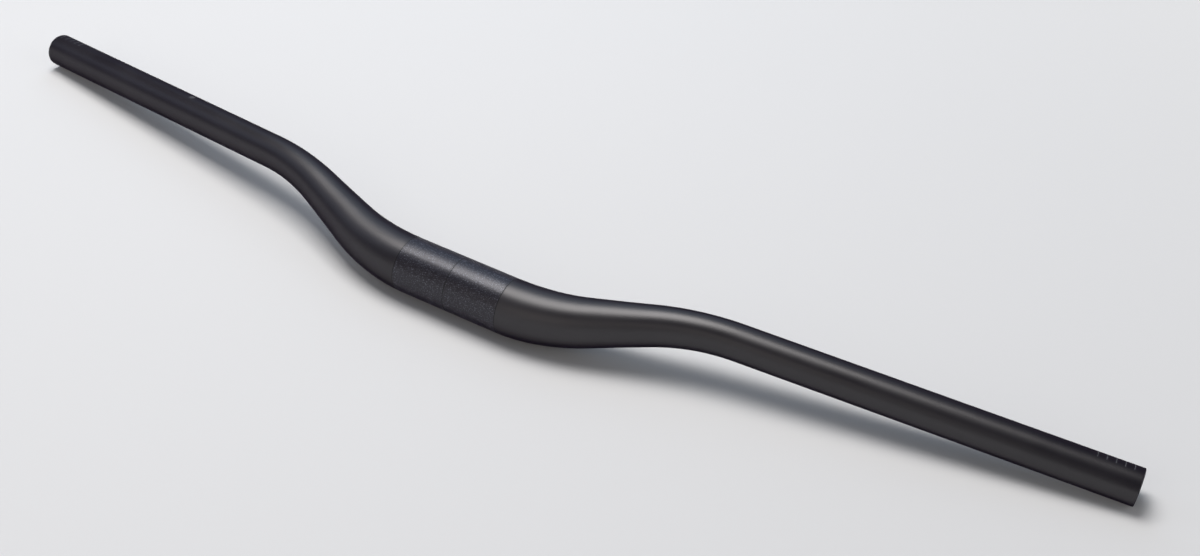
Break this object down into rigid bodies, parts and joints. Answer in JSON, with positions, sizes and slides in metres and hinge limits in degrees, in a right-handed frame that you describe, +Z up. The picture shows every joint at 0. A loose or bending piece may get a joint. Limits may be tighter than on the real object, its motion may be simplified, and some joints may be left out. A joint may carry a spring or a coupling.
{
  "type": "riser handlebar",
  "caption": "Matte black bicycle handlebar: one hollow tapered tube with a wide straight clamp, raised arms, swept-back grip ends and a rough clamp band.",
  "frame": {"origin": "middle of the clamp section, on its axis", "axes": "+X along the clamp axis towards one grip, +Z up from the surface that the bar lies on, +Y to the side that the grips sweep to; turned by +64.6 degrees about +X it is as ridden, with its rise up"},
  "size_m": [0.8036, 0.098, 0.0416],
  "materials": {
    "bar_finish": "satin"
  },
  "bodies": {
    "root": {"handlebar": "bar_finish"}
  },
  "joints": []
}
